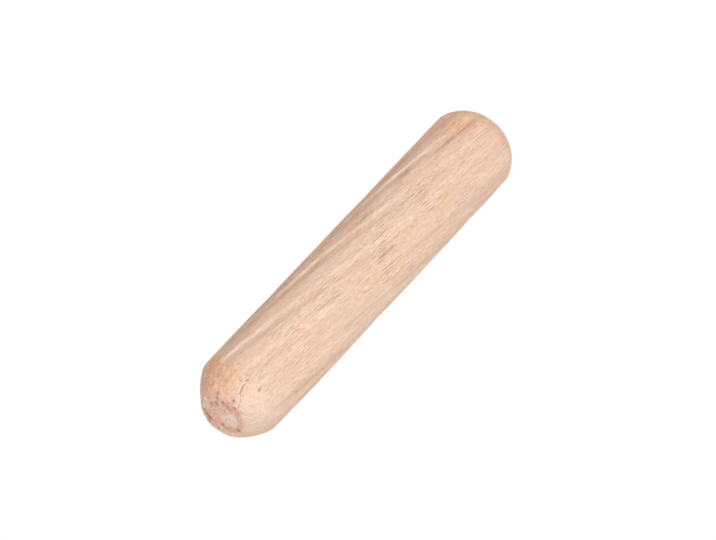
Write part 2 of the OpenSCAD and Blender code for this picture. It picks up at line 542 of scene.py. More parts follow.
# %% Chips
# Each is (degrees round from the front, height, size across, size along, depth).
CHIPS = [
    (8, 38.1, 0.12, 0.16, 0.13), (-12, 37.9, 0.12, 0.22, 0.16), (15, 38.4, 0.22, 0.06, 0.08),
    (27, 37.9, 0.20, 0.20, 0.07), (44, 37.8, 0.30, 0.22, 0.08), (-36, 37.5, 0.14, 0.20, 0.05),
    (62, 37.4, 0.20, 0.30, 0.08), (32, 38.9, 0.28, 0.16, 0.09), (50, 38.6, 0.25, 0.25, 0.10),
    (110, 37.1, 0.20, 0.30, 0.12), (-95, 36.9, 0.18, 0.25, 0.10), (170, 37.2, 0.22, 0.30, 0.12),
    (20, 2.6, 0.16, 0.30, 0.08), (-60, 2.3, 0.20, 0.25, 0.10), (140, 2.4, 0.20, 0.30, 0.10),
]
FULL_CHIP = 0.16
CHIP_SHADE = 0.9
LIP_HIGHLIGHT = 0.9
chip = np.zeros(theta.shape)
for turn, height, across, along, depth in CHIPS:
    bite = np.exp(-(round_from(turn) / across) ** 2 - ((z - height) / along) ** 2) * side
    side_r = side_r - depth * bite
    chip = np.maximum(chip, bite * depth / FULL_CHIP)
side_r = np.minimum(side_r, RADIUS)
# The split and the chips are darkened as painted shade, and the split's lip is lightened as a painted
# highlight.
split_and_chip_shade = np.maximum(split, CHIP_SHADE * chip ** 1.6)
pore_and_shade = np.clip(np.maximum(pore_and_shade, split_and_chip_shade), 0, 1)
fibre_highlight = np.clip(np.maximum(fibre_highlight, LIP_HIGHLIGHT * raised * (1 - split)), 0, 1)
print(len(CHIPS), "chips")

# %% [markdown]
# ## The sawn faces
# A saw tears across the fibres, so an end face is a field of small tufts and pits, deepest where
# a bundle of fibres was pulled out. The height of the face is a sum of noise with no direction,
# faint saw lines and a few placed pits, and the bottom face, which the pin stands on, was cut
# cleaner. A bump would show the same light, but it would leave the rim a clean line against the
# floor, so this relief is in the mesh.

# %% Roughness of a sawn face
SAW_ROUGHNESS = 0.085
TUFTS = 0.045
SAW_LINE_PITCH = 0.42
SAW_LINE_DEPTH = 0.018
SAW_LINE_SLANT = 0.35
TOP_NOISE_Z = 9
face_x, face_y = blank_r * np.cos(theta), blank_r * np.sin(theta)
face_noise_z = np.where(z > LENGTH / 2, TOP_NOISE_Z, 0.0)
flat_place = np.stack([face_x, face_y, face_noise_z], axis=-1).reshape(-1, 3)
rough = zero_to_one(spread(plain_noise(flat_place, 0.75, seed=9, octaves=3)))
tufts = zero_to_one(spread(plain_noise(flat_place, 0.17, seed=10)))
across_saw = face_x + SAW_LINE_SLANT * face_y
saw_lines = zero_to_one(np.sin(2 * math.pi * across_saw / SAW_LINE_PITCH))
sawn = SAW_ROUGHNESS * rough + TUFTS * tufts + SAW_LINE_DEPTH * saw_lines
print(f"sawn relief: {sawn.min():.3f} to {sawn.max():.3f} mm")

# %% Pits and bruises of the top face
# Where fibres were pulled out, the face is pitted and later browned. Each bruise on the top face
# is (x, y, size, depth of the pit, strength of the brown), in mm.
BRUISES = [
    (1.4, 1.2, 0.24, 0.05, 0.8), (1.0, 1.4, 0.26, 0.03, 0.8), (0.7, 1.45, 0.30, 0.06, 1.0),
    (0.45, 1.8, 0.22, 0.00, 0.7), (-0.6, 0.9, 0.17, 0.09, 0.8), (-0.95, 0.9, 0.22, 0.00, 0.4),
    (-1.95, 0.05, 0.23, 0.13, 1.0), (1.6, -1.8, 0.21, 0.14, 0.9), (1.3, -1.3, 0.18, 0.10, 0.8),
    (1.05, -0.75, 0.20, 0.12, 0.75), (0.7, -1.35, 0.19, 0.10, 0.8), (0.15, -2.45, 0.20, 0.14, 0.9),
    (0.0, -1.2, 0.22, 0.08, 0.45), (-0.35, -2.0, 0.19, 0.10, 0.7), (-0.95, -2.1, 0.20, 0.07, 0.45),
    (1.35, -0.25, 0.30, 0.00, 0.4), (-1.6, -1.4, 0.32, 0.00, 0.3), (-1.85, -0.8, 0.32, 0.00, 0.3),
]
pits = np.zeros(theta.shape)
for x, y, size, depth, _ in BRUISES:
    pits += depth * np.exp(-((face_x - x) ** 2 + (face_y - y) ** 2) / size ** 2)
print(f"deepest pit: {pits.max():.2f} mm")

# %% [markdown]
# The same height is carried over the rim and fades out down the taper, which nibbles the rim so
# that it isn't a perfect circle. The saw also leaned a little, so the front of the top face is
# lower than its back. In the end both faces are moved to lie exactly on the pin's length.

# %% Rims and the lean of the saw
RIM_FADE = 0.45
RIM_ROUND = 0.045
NIBBLE = 0.10
SAW_LEAN = 0.022
LEAN_FADE = 1.2
BOTTOM_SHARE = 0.45
FACE_CORE = 1
top_rim = ramp(z, LENGTH - RIM_FADE, LENGTH)
low_rim = 1 - ramp(z, 0, RIM_FADE)
leaning = SAW_LEAN * np.clip(blank_r * np.cos(facing) + TOP_FACE_R, 0, None)
top_drop = top_rim * np.clip(sawn + pits, 0, None)
top_drop += RIM_ROUND * np.where(zone == TOP_FACE, outwards ** 12, top_rim ** 2)
top_drop += leaning * ramp(z, LENGTH - LEAN_FADE, LENGTH)

nibble = NIBBLE * (0.5 + spread(plain_noise(flat_place, 0.6, seed=11, octaves=2)))
rim_share = np.where(zone == TOP_FACE, outwards ** 6, top_rim)
rim_share = np.where(zone == LOW_FACE, (blank_r / BOTTOM_FACE_R) ** 6, rim_share)
rim_share = np.where((zone == LOW_TAPER) | (zone == SHANK), low_rim, rim_share)
surface_r = np.where(side, side_r, blank_r) - rim_share * nibble * (blank_r > FACE_CORE)
surface_z = z - top_drop + BOTTOM_SHARE * low_rim * sawn
surface_z -= np.where(z > LENGTH / 2, top_rim * (surface_z.max() - LENGTH), 0)
surface_z -= np.where(z < LENGTH / 2, low_rim * surface_z.min(), 0)
print(f"faces between {surface_z.min():.3f} and {surface_z.max():.3f} mm")

# %% [markdown]
# ## Masks for the colour
# Some colour belongs to a place and not to the grain: the warm tan of a taper that got hot as it
# was turned, and the pale skin of the side that was cut clean. Ruddy streaks run down the shank,
# and the broad ones give the flank that the key lamp leaves in shade a redder tone, as painted
# shade. Along both sides of a burst thread the same colour is painted shade of the groove walls.
# Each becomes a mask from 0 to 1.
# A painted image would need the surface unwrapped, but on a mesh this dense a number on each vertex
# is fine enough, and the material reads it as an attribute.

# %% Warm and pale tapers
# Each is (degrees round from the front, height, degrees wide, mm tall, strength).
WARM_PLACES = [(44, 38.9, 32, 1.5, 1.0), (60, 37.9, 26, 1.0, 0.7), (48, 1.6, 34, 2.4, 0.7),
               (52, 4.0, 20, 2.0, 0.6), (88, 38.8, 28, 1.7, 0.9)]
PALE_PLACES = [(-50, 38.9, 34, 1.8, 0.9), (-12, 38.8, 26, 1.3, 0.6), (-70, 1.2, 40, 1.4, 0.5)]
WARM_BEHIND = 0.5
WARM_EVEN, WARM_CLOUDED = 0.15, 1.4
cloud = zero_to_one(spread(noise_at(place, 0.9, 1.6, seed=12, octaves=3)))
warm = blobs(WARM_PLACES).sum(axis=0) + WARM_BEHIND * tapered * blob(165, z, 70, 1)
warm = np.where(side, np.clip(warm * (WARM_EVEN + WARM_CLOUDED * cloud), 0, 1), 0)
pale = np.where(side, np.clip(blobs(PALE_PLACES).sum(axis=0), 0, 1), 0)
print(f"average over the side: warm {warm[side].mean():.3f}, pale {pale[side].mean():.3f}")

# %% Ruddy streaks and painted shade
# The broad streaks on the flank that the key lamp leaves in shade are painted shade there.
# Each is (degrees round from the front, height, degrees wide, mm tall, strength).
RUDDY_STREAKS_AND_SHADE = [
    (56, 28.5, 6, 1.4, 0.8), (48, 24.5, 5, 3.2, 0.55), (43, 18, 5, 1.6, 0.8), (46, 11, 6, 1.3, 0.7),
    (31, 5.2, 4, 1.6, 0.7), (25, 3.2, 4, 1.2, 0.7), (5, 12.3, 5, 1.0, 0.4), (-10, 19, 4, 1.3, 0.4),
    (64, 33, 10, 3.5, 0.5), (62, 16, 9, 7.0, 0.55), (74, 26, 18, 14, 0.7), (72, 9, 16, 9, 0.7),
    (120, 25, 9, 4, 0.5), (-150, 30, 8, 4, 0.4), (160, 9, 9, 3, 0.5), (-100, 14, 8, 4, 0.4),
]
# Each is (mm from the groove's middle, strength): lines of painted shade on both sides of its burst
# thread, where the walls of the groove fall into shade.
THREAD_SIDE_SHADES = [(0.09, 1.0), (0.71, 0.7)]
THREAD_SHADE_WIDTH = 0.07
THREAD_SHADE_RED = 1.1
RED_EVEN, RED_STREAKY = 0.3, 1.3
ruddy_and_shade = blobs(RUDDY_STREAKS_AND_SHADE).max(axis=0)
streaky = zero_to_one(spread(noise_at(place, 0.35, 3.0, seed=16, octaves=2)))
thread_shade = sum(strength * np.exp(-((thread_at - at) / THREAD_SHADE_WIDTH) ** 2)
             for at, strength in THREAD_SIDE_SHADES)
# The painted shade beside the threads is kept off the front of the pin.
thread_shade *= run * off_front(25, 45) * (1 - tapered)
ruddy_and_shade = ruddy_and_shade * (RED_EVEN + RED_STREAKY * streaky) + THREAD_SHADE_RED * thread_shade * streaky
ruddy_and_shade = np.where(side, np.clip(ruddy_and_shade, 0, 1), 0)
print(f"average over the side: ruddy {ruddy_and_shade[side].mean():.3f}")

# %% [markdown]
# The sawn face ends in a ragged border at the rim, so a mask says how far it reaches: 1 on the
# face and 0 on the side. On the face itself there are rose and brown bruises, and a chalky patch
# where fibres were flattened.

# %% Border of the sawn faces
RAGGED = 0.28
BORDER = 0.18
rim_ring = TOP_FACE_R + fuller * RIM_FULLNESS
inwards = np.where(zone == TOP_FACE, rim_ring - blank_r, np.where(z > LENGTH / 2, z - LENGTH, -z))
inwards = np.where(zone == LOW_FACE, BOTTOM_FACE_R - blank_r, inwards)
fray = RAGGED * spread(plain_noise(place, 0.32, seed=17, octaves=2))
cut = ramp(inwards + fray - RAGGED / 3, -BORDER, BORDER)
print(f"average over the side: sawn colour {cut[side].mean():.3f}")

# %% Spots on the top face
# Each is (x, y, size, strength) in mm on the top face.
ROSE_SPOTS = [(0.0, 1.25, 0.42, 0.9), (-1.4, 0.5, 0.32, 1.0), (-1.65, 0.3, 0.28, 0.9),
              (0.8, -1.75, 0.20, 0.7), (-0.85, -1.9, 0.30, 0.5), (1.0, -0.9, 0.90, 0.35),
              (0.5, 0.3, 0.60, 0.3), (0.5, -1.6, 0.40, 0.6)]
CHALK_SPOTS = [(-0.75, -0.7, 0.50, 0.95), (-1.35, -0.75, 0.38, 0.7), (-0.15, -0.05, 0.40, 0.5),
               (-1.0, -0.2, 0.30, 0.5), (0.95, -1.65, 0.14, 0.7), (1.35, -2.0, 0.15, 0.7)]
spot_edge = 0.45 * spread(plain_noise(flat_place, 0.3, seed=13, octaves=2))


def face_spots(spots):
    """Strength from 0 to 1 of round spots on the top face, with ragged edges."""
    total = np.zeros(theta.shape)
    for x, y, size, strength in spots:
        away = np.hypot(face_x - x, face_y - y) / size + spot_edge
        total = np.maximum(total, strength * np.exp(-np.clip(away, 0, None) ** 2))
    return total * top_rim


brown = face_spots([(x, y, size, strength) for x, y, size, _, strength in BRUISES])
rose = face_spots(ROSE_SPOTS)
chalk = face_spots(CHALK_SPOTS)
print(len(BRUISES + ROSE_SPOTS + CHALK_SPOTS), "spots on the top face")

# %% [markdown]
# ## The mesh
# Rings become quads, and each face closes with a fan round its middle vertex. bmesh could add them
# one by one, but with this many it is quicker to hand Blender whole lists. The numbers go back to
# metres here, and the masks go along as attributes.

# %% Faces between the rings
def ring_faces(rings, around):
    """Quads between neighbouring rings, wound so that they face outwards."""
    here = np.arange(around)
    after = (here + 1) % around
    quads = []
    for ring in range(rings - 1):
        low_row, high_row = ring * around, (ring + 1) * around
        quads.append(np.stack([low_row + here, low_row + after, high_row + after,
                               high_row + here], axis=1))
    return np.concatenate(quads).tolist()


def fan(start, middle, around, upwards):
    """Triangles that close a ring to its middle vertex."""
    here = np.arange(around)
    after = (here + 1) % around
    first, second = (here, after) if upwards else (after, here)
    return [[middle, start + a, start + b] for a, b in zip(first.tolist(), second.tolist())]


print("faces between the rings:", (len(ring_r) - 1) * AROUND)

# %% Build the pin
MASKS = {"pore_and_shade": pore_and_shade, "fibre_highlight": fibre_highlight, "burst_highlight": burst_highlight, "warm": warm, "pale": pale, "ruddy_and_shade": ruddy_and_shade,
         "lively": lively, "brown": brown, "rose": rose, "chalk": chalk, "cut": cut}


def link_to_scene(made):
    """Put a new object into the scene."""
    bpy.context.scene.collection.objects.link(made)
    return made


def build_pin():
    """The pin as one closed mesh, with its masks as attributes."""
    rings = len(ring_r)
    points = np.stack([surface_r * np.cos(theta), surface_r * np.sin(theta), surface_z], axis=-1)
    middles = [[0, 0, surface_z[0].mean()], [0, 0, surface_z[-1].mean()]]
    points = np.concatenate([points.reshape(-1, 3), middles]) * MM
    bottom_middle, top_middle = len(points) - 2, len(points) - 1
    faces = ring_faces(rings, AROUND)
    faces += fan(0, bottom_middle, AROUND, upwards=False)
    faces += fan((rings - 1) * AROUND, top_middle, AROUND, upwards=True)
    mesh = bpy.data.meshes.new("dowel_pin_wood")
    mesh.from_pydata(points.tolist(), [], faces)
    for name, values in MASKS.items():
        attribute = mesh.attributes.new(name, "FLOAT", "POINT")
        at_middles = [values[0].mean(), values[-1].mean()]
        attribute.data.foreach_set("value", np.concatenate([values.ravel(), at_middles]))
    mesh.shade_smooth()
    return link_to_scene(bpy.data.objects.new("dowel_pin_wood", mesh))


pin = build_pin()
print("triangles:", sum(len(face.vertices) - 2 for face in pin.data.polygons))

# %% [markdown]
# ## Small helpers for shader nodes
# A shader is a graph, and a graph reads best when making a node takes one short call. `put` makes
# a node and fills its sockets, with numbers or with the outputs of other nodes. The rest are the
# few kinds of node that a wood needs again and again, and two steps that its colour is made of: a
# tint towards another colour where a mask says so, and a shade that darkens or lightens.

# %% Node helpers
def put(tree, kind, sockets=None, **settings):
    """Make a node, set its properties, and fill its input sockets by name or number."""
    made = tree.nodes.new(kind)
    for name, value in settings.items():
        setattr(made, name, value)
    for key, value in (sockets or {}).items():
        if isinstance(value, bpy.types.NodeSocket):
            tree.links.new(value, made.inputs[key])
        else:
            made.inputs[key].default_value = value
    return made


def maths(tree, operation, a, b=0.0, clamp=False):
    """One Math node's output."""
    sockets = {0: a, 1: b}
    return put(tree, "ShaderNodeMath", sockets, operation=operation, use_clamp=clamp).outputs[0]


def remap(tree, value, low_in, high_in, low_out=0.0, high_out=1.0):
    """A value moved from one range to another, and held inside it."""
    sockets = {"Value": value, "From Min": low_in, "From Max": high_in,
               "To Min": low_out, "To Max": high_out}
    return put(tree, "ShaderNodeMapRange", sockets).outputs["Result"]


def blend_colour(tree, share, first, second, way="MIX"):
    """Two colours mixed by a share from 0 to 1."""
    made = put(tree, "ShaderNodeMix", {0: share, 6: first, 7: second},
               data_type="RGBA", blend_type=way)
    return made.outputs[2]


def mask(tree, name):
    """A mask stored on the mesh."""
    made = put(tree, "ShaderNodeAttribute", attribute_name=name)
    return made.outputs["Fac"]


def tint(tree, colour, where, amount, other):
    """A colour drawn towards another one, by a mask times an amount."""
    return blend_colour(tree, maths(tree, "MULTIPLY", where, amount), colour, other)


def shade_by(tree, colour, factor):
    """A colour made darker or lighter by one factor."""
    grey = put(tree, "ShaderNodeCombineXYZ", {0: factor, 1: factor, 2: factor}).outputs[0]
    return blend_colour(tree, 1.0, colour, grey, "MULTIPLY")


# %% Node group helpers
def new_group(name, inputs, outputs):
    """An empty node group with named sockets: its tree, its input node and its output node."""
    tree = bpy.data.node_groups.new(name, "ShaderNodeTree")
    for socket, kind, value in inputs:
        made = tree.interface.new_socket(name=socket, in_out="INPUT", socket_type=kind)
        if value is not None:
            made.default_value = value
    for socket, kind in outputs:
        tree.interface.new_socket(name=socket, in_out="OUTPUT", socket_type=kind)
    return tree, put(tree, "NodeGroupInput"), put(tree, "NodeGroupOutput")


def use(tree, group, sockets):
    """Place a node group in a material."""
    return put(tree, "ShaderNodeGroup", sockets, node_tree=group)


FLOAT, VECTOR = "NodeSocketFloat", "NodeSocketVector"

# %% [markdown]
# ## Wood as a solid
# The safest way to make wood is in three dimensions: the grain fills all of space, and the piece
# only shows where it cuts it. Dashes on the side then turn into dots on the end by themselves, and
# nothing has to be wrapped round a cylinder. The first group turns the object's own coordinates
# into millimetres that are squared up to the grain. The others all start from it.

# %% Group: grain frame
def make_grain_frame():
    """Object coordinates in metres to millimetres, turned so that Z runs along the grain."""
    tree, start, end = new_group(
        "grain frame", [("Point", VECTOR, None), ("Rotation", VECTOR, None)],
        [("Grain Point", VECTOR)])
    turned = put(tree, "ShaderNodeMapping", {"Vector": start.outputs["Point"],
                                             "Rotation": start.outputs["Rotation"],
                                             "Scale": (1 / MM, 1 / MM, 1 / MM)})
    tree.links.new(turned.outputs["Vector"], end.inputs["Grain Point"])
    return tree


def squeeze(tree, point, across, along):
    """A grain point divided by a size across the grain and a size along it."""
    size = put(tree, "ShaderNodeCombineXYZ", {0: across, 1: across, 2: along})
    sockets = {0: point, 1: size.outputs[0]}
    return put(tree, "ShaderNodeVectorMath", sockets, operation="DIVIDE").outputs[0]


GRAIN_FRAME = make_grain_frame()

# %% [markdown]
# Fibres are noise that is stretched along the grain. With a large size the same group gives soft
# bands of colour, and with a small one it gives the fine lines that only show close up.

# %% Group: fibres
def make_fibres():
    """Streaks from 0 to 1, of a size across and along the grain."""
    tree, start, end = new_group(
        "fibres", [("Grain Point", VECTOR, None), ("Across", FLOAT, 0.3), ("Along", FLOAT, 6.0),
                   ("Detail", FLOAT, 2.0), ("Seed", FLOAT, 0.0)],
        [("Streak", FLOAT)])
    point = squeeze(tree, start.outputs["Grain Point"], start.outputs["Across"],
                    start.outputs["Along"])
    streak = put(tree, "ShaderNodeTexNoise", {"Vector": point, "W": start.outputs["Seed"],
                                              "Scale": 1.0, "Detail": start.outputs["Detail"]},
                 noise_dimensions="4D")
    tree.links.new(streak.outputs["Fac"], end.inputs["Streak"])
    return tree


FIBRES = make_fibres()

# %% [markdown]
# A vessel is a tube, a tenth of a millimetre wide. A Voronoi texture gives one point to each cell
# of space, and stretching the cells along the grain makes each point a thin spindle. Where a
# spindle is cut along, it is a dash, and where it is cut across, it is a dot.

# %% Group: vessels
def make_vessels():
    """A mask of thin spindles along the grain."""
    tree, start, end = new_group(
        "vessels", [("Grain Point", VECTOR, None), ("Spacing", FLOAT, 0.5), ("Length", FLOAT, 4.0),
                    ("Thickness", FLOAT, 0.12)],
        [("Vessel", FLOAT)])
    point = squeeze(tree, start.outputs["Grain Point"], start.outputs["Spacing"],
                    start.outputs["Length"])
    cell = put(tree, "ShaderNodeTexVoronoi", {"Vector": point, "Scale": 1.0})
    thick = start.outputs["Thickness"]
    edge = maths(tree, "MULTIPLY", thick, 0.4)
    vessel = remap(tree, cell.outputs["Distance"], edge, thick, 1.0, 0.0)
    tree.links.new(vessel, end.inputs["Vessel"])
    return tree


VESSELS = make_vessels()

# %% [markdown]
# A year of growth is pale where it grew fast in spring and darker where it grew slowly in summer,
# with a quick step back to pale. The stick is far thinner than its tree, so the rings cross it as
# nearly flat bands: distances from a line well outside the stick, cut into equal steps.

# %% Group: growth rings
def make_rings():
    """Late wood from 0 to 1, in bands round a pith that lies outside the stick."""
    spring_end, summer_end, slowness = 0.15, 0.9, 1.6
    tree, start, end = new_group(
        "growth rings", [("Grain Point", VECTOR, None), ("Pith", VECTOR, (40.0, 12.0, 0.0)),
                         ("Ring Width", FLOAT, 1.6), ("Wobble", FLOAT, 0.5)],
        [("Late Wood", FLOAT)])
    from_pith = put(tree, "ShaderNodeVectorMath", {0: start.outputs["Grain Point"],
                                                   1: start.outputs["Pith"]}, operation="ADD")
    flat = put(tree, "ShaderNodeVectorMath", {0: from_pith.outputs[0], 1: (1.0, 1.0, 0.0)},
               operation="MULTIPLY")
    radius = put(tree, "ShaderNodeVectorMath", {0: flat.outputs[0]}, operation="LENGTH")
    rings = maths(tree, "DIVIDE", radius.outputs["Value"], start.outputs["Ring Width"])
    bend = put(tree, "ShaderNodeTexNoise",
               {"Vector": squeeze(tree, start.outputs["Grain Point"], 2.5, 14.0), "Scale": 1.0})
    bend = maths(tree, "MULTIPLY", bend.outputs["Fac"], start.outputs["Wobble"])
    year = maths(tree, "FRACT", maths(tree, "ADD", rings, bend))
    rise = remap(tree, year, spring_end, summer_end)
    fall = remap(tree, year, summer_end, 1.0, 1.0, 0.0)
    late = maths(tree, "MULTIPLY", maths(tree, "POWER", rise, slowness), fall)
    tree.links.new(late, end.inputs["Late Wood"])
    return tree


RINGS = make_rings()
print("groups:", [group.name for group in bpy.data.node_groups])

# %% [markdown]
# ## Paints and shared parts of the materials
# A wood's colours are named as a finisher would name them. The sockets of a shader want linear
# light, so `paint` turns each colour over. Both materials start in the same way: an empty tree with
# its shader, and the point of the surface in the grain's own millimetres.

# %% Palette
def paint(red, green, blue):
    """A colour as a paint chart gives it, 0 to 255, turned into the linear light of shaders."""
    linear = [((c / 255 + 0.055) / 1.055) ** 2.4 if c > 10 else c / 255 / 12.92
              for c in (red, green, blue)]
    return (*linear, 1.0)


GROUND = paint(244, 210, 185)
LATE_WOOD = paint(228, 189, 161)
PINK_STREAK = paint(238, 196, 178)
GOLD_STREAK = paint(239, 202, 164)
# Ruddy streaks, also the painted shade beside the threads and on the shaded flank.
RUDDY_AND_SHADE = paint(204, 144, 116)
# Pale of torn and burst fibres, partly a painted highlight.
PALE_FIBRE_HIGHLIGHT = paint(255, 234, 212)
# Brown of the pores, partly their own colour and partly painted shade of their depth.
PORE_SHADE_BROWN = paint(168, 112, 80)
TURNED_TAN = paint(240, 188, 138)
TURNED_ROSE = paint(248, 188, 160)
TURNED_PALE = paint(248, 209, 199)
TURNED_CREAM = paint(252, 224, 196)
END_GROUND = paint(254, 220, 200)
END_LATE = paint(226, 175, 147)
ROSE_BRUISE = paint(232, 164, 148)
BRUISE = paint(166, 102, 68)
CHALK = paint(252, 234, 222)
print("the ground in linear light:", [round(value, 3) for value in GROUND[:3]])

# %% Start of a material
def new_material(name):
    """An empty node material: its tree, and its Principled shader already on the output."""
    material = bpy.data.materials.new(name)
    material.use_nodes = True
    tree = material.node_tree
    tree.nodes.clear()
    shader = put(tree, "ShaderNodeBsdfPrincipled")
    put(tree, "ShaderNodeOutputMaterial", {"Surface": shader.outputs["BSDF"]})
    return material, tree, shader


def grain_point(tree):
    """Millimetres along and across the grain, from the object's own coordinates."""
    spot = put(tree, "ShaderNodeTexCoord").outputs["Object"]
    turn = TO_GRAIN.to_euler()
    return use(tree, GRAIN_FRAME, {"Point": spot, "Rotation": turn}).outputs["Grain Point"]


def streaks(tree, point, across, along, seed, detail=2.0):
    """One layer of fibres."""
    sockets = {"Grain Point": point, "Across": across, "Along": along, "Seed": seed,
               "Detail": detail}
    return use(tree, FIBRES, sockets).outputs["Streak"]


def vessels(tree, point, spacing, length, thickness):
    """One layer of vessels."""
    sockets = {"Grain Point": point, "Spacing": spacing, "Length": length, "Thickness": thickness}
    return use(tree, VESSELS, sockets).outputs["Vessel"]


def late_wood(tree, point):
    """The growth rings."""
    return use(tree, RINGS, {"Grain Point": point}).outputs["Late Wood"]


def swing(tree, streak, low, high):
    """A streak, which is mostly between 0.3 and 0.7, moved to the range from low to high."""
    return remap(tree, streak, 0.3, 0.7, low, high)


def dress(tree, shader, colour, roughness, height, bump_depth):
    """Feed the shader with a colour, a roughness, and a bump of the given depth in mm."""
    tree.links.new(colour, shader.inputs["Base Color"])
    tree.links.new(roughness, shader.inputs["Roughness"])
    sockets = {"Height": height, "Distance": bump_depth * MM, "Strength": 1.0}
    bump = put(tree, "ShaderNodeBump", sockets)
    tree.links.new(bump.outputs["Normal"], shader.inputs["Normal"])


# %% [markdown]
# ## Side grain
# The shank and the tapers show the wood along its length. Its colour is built up as a finisher
# would describe it: a pale ground, late wood a little darker, and slow pinkish and golden streaks.
# Over that come the tints of places: the tan and the pale skin of the turned tapers, the ruddy
# streaks with their painted shade, and the colour of the sawn face where it reaches over the rim.

# %% Ground and tints of the side
def side_ground(tree, point):
    """Pale wood, with late wood and slow streaks."""
    late = late_wood(tree, point)
    pink = remap(tree, streaks(tree, point, 0.9, 4.0, 1.0), 0.46, 0.66)
    gold = remap(tree, streaks(tree, point, 0.7, 3.0, 2.0), 0.50, 0.70)
    colour = tint(tree, GROUND, late, 0.35, LATE_WOOD)
    colour = tint(tree, colour, pink, 0.6, PINK_STREAK)
    return tint(tree, colour, gold, 0.55, GOLD_STREAK)


def side_tints(tree, point, colour):
    """The tints of places, with the painted shade of the ruddy mask, each where its mask is."""
    patches = remap(tree, streaks(tree, point, 0.55, 0.55, 6.0, 3.0), 0.40, 0.60)
    turned = blend_colour(tree, patches, TURNED_TAN, TURNED_ROSE)
    pale_skin = blend_colour(tree, patches, TURNED_PALE, TURNED_CREAM)
    tints = [("warm", 0.75, turned), ("pale", 0.75, pale_skin), ("ruddy_and_shade", 0.7, RUDDY_AND_SHADE),
             ("cut", 0.8, END_GROUND), ("rose", 0.8, ROSE_BRUISE), ("brown", 0.85, BRUISE)]
    for name, amount, other in tints:
        colour = tint(tree, colour, mask(tree, name), amount, other)
    return colour


# %% [markdown]
# Close up, bare wood is never one tone: hairs and flecks of light and dark run along it. They are
# strong in busy stretches and round the groups of pores, and nearly gone on the pale skin. A turned
# taper is mottled instead, because there the fibres were cut across.

# %% Fine light and dark of the side
def side_tone(tree, point, lines, hairs):
    """One factor for the fine light and dark of the side."""
    busy = remap(tree, streaks(tree, point, 1.3, 5.0, 10.0), 0.40, 0.62, 0.50, 1.30)
    busy = maths(tree, "ADD", busy, mask(tree, "lively"))
    busy = maths(tree, "MULTIPLY", busy, remap(tree, mask(tree, "pale"), 0.0, 1.0, 1.0, 0.2))
    flecks = streaks(tree, point, 0.09, 0.45, 5.0)
    fine = maths(tree, "ADD", swing(tree, hairs, -0.14, 0.14), swing(tree, flecks, -0.11, 0.11))
    fine = maths(tree, "MULTIPLY", fine, busy)
    mottle = remap(tree, streaks(tree, point, 0.26, 0.26, 11.0, 3.0), 0.35, 0.65, -0.13, 0.09)
    pale_share = maths(tree, "MULTIPLY", mask(tree, "pale"), 0.45)
    mottled = maths(tree, "ADD", mask(tree, "warm"), pale_share)
    fine = maths(tree, "ADD", fine, maths(tree, "MULTIPLY", mottle, mottled))
    broad = swing(tree, lines, 0.945, 1.045)
    return maths(tree, "MULTIPLY", broad, maths(tree, "ADD", fine, 1.0))


# %% [markdown]
# Last come the pale burst fibres and torn walls, lightened partly as painted highlight, and the
# pores, darkened partly as painted shade because they are deep. The bump repeats the lines, hairs
# and vessels, so that light agrees with colour.

# %% Side grain material
def side_grain():
    """Wood cut along its fibres."""
    material, tree, shader = new_material("side_grain")
    point = grain_point(tree)
    lines = streaks(tree, point, 0.16, 2.2, 3.0, 3.0)
    hairs = streaks(tree, point, 0.065, 1.3, 4.0)
    vessel = vessels(tree, point, spacing=0.42, length=4.0, thickness=0.11)

    colour = side_tints(tree, point, side_ground(tree, point))
    colour = shade_by(tree, colour, side_tone(tree, point, lines, hairs))
    # Burst fibres and torn walls are lightened, partly their own pale and partly a painted highlight.
    frayed_highlight = maths(tree, "MULTIPLY", mask(tree, "burst_highlight"), remap(tree, hairs, 0.35, 0.6, 0.6, 1.0))
    bright = maths(tree, "MAXIMUM", frayed_highlight, maths(tree, "MULTIPLY", mask(tree, "fibre_highlight"), 0.95))
    colour = blend_colour(tree, bright, colour, PALE_FIBRE_HIGHLIGHT)
    # Pores and vessels are darkened, partly their own colour and partly painted shade of their depth.
    dark = maths(tree, "MAXIMUM", mask(tree, "pore_and_shade"), maths(tree, "MULTIPLY", vessel, 0.30))
    colour = tint(tree, colour, dark, 0.82, PORE_SHADE_BROWN)

    height = maths(tree, "ADD", maths(tree, "MULTIPLY", lines, 0.7),
                   maths(tree, "MULTIPLY", hairs, 0.5))
    height = maths(tree, "SUBTRACT", height, maths(tree, "MULTIPLY", vessel, 0.8))
    sheen = remap(tree, lines, 0.2, 0.8, 0.56, 0.70)
    shader.inputs["Specular IOR Level"].default_value = 0.25
    dress(tree, shader, colour, sheen, height, bump_depth=0.03)
    return material


# %% [markdown]
# ## End grain
# Across the grain the same vessels are dots, and the saw has bent and bruised the fibres between
# them. End grain is duller than side grain and more uneven in tone, because its open tubes drink in
# light. The bruises are browner still, and one patch is chalky where fibres were flattened.

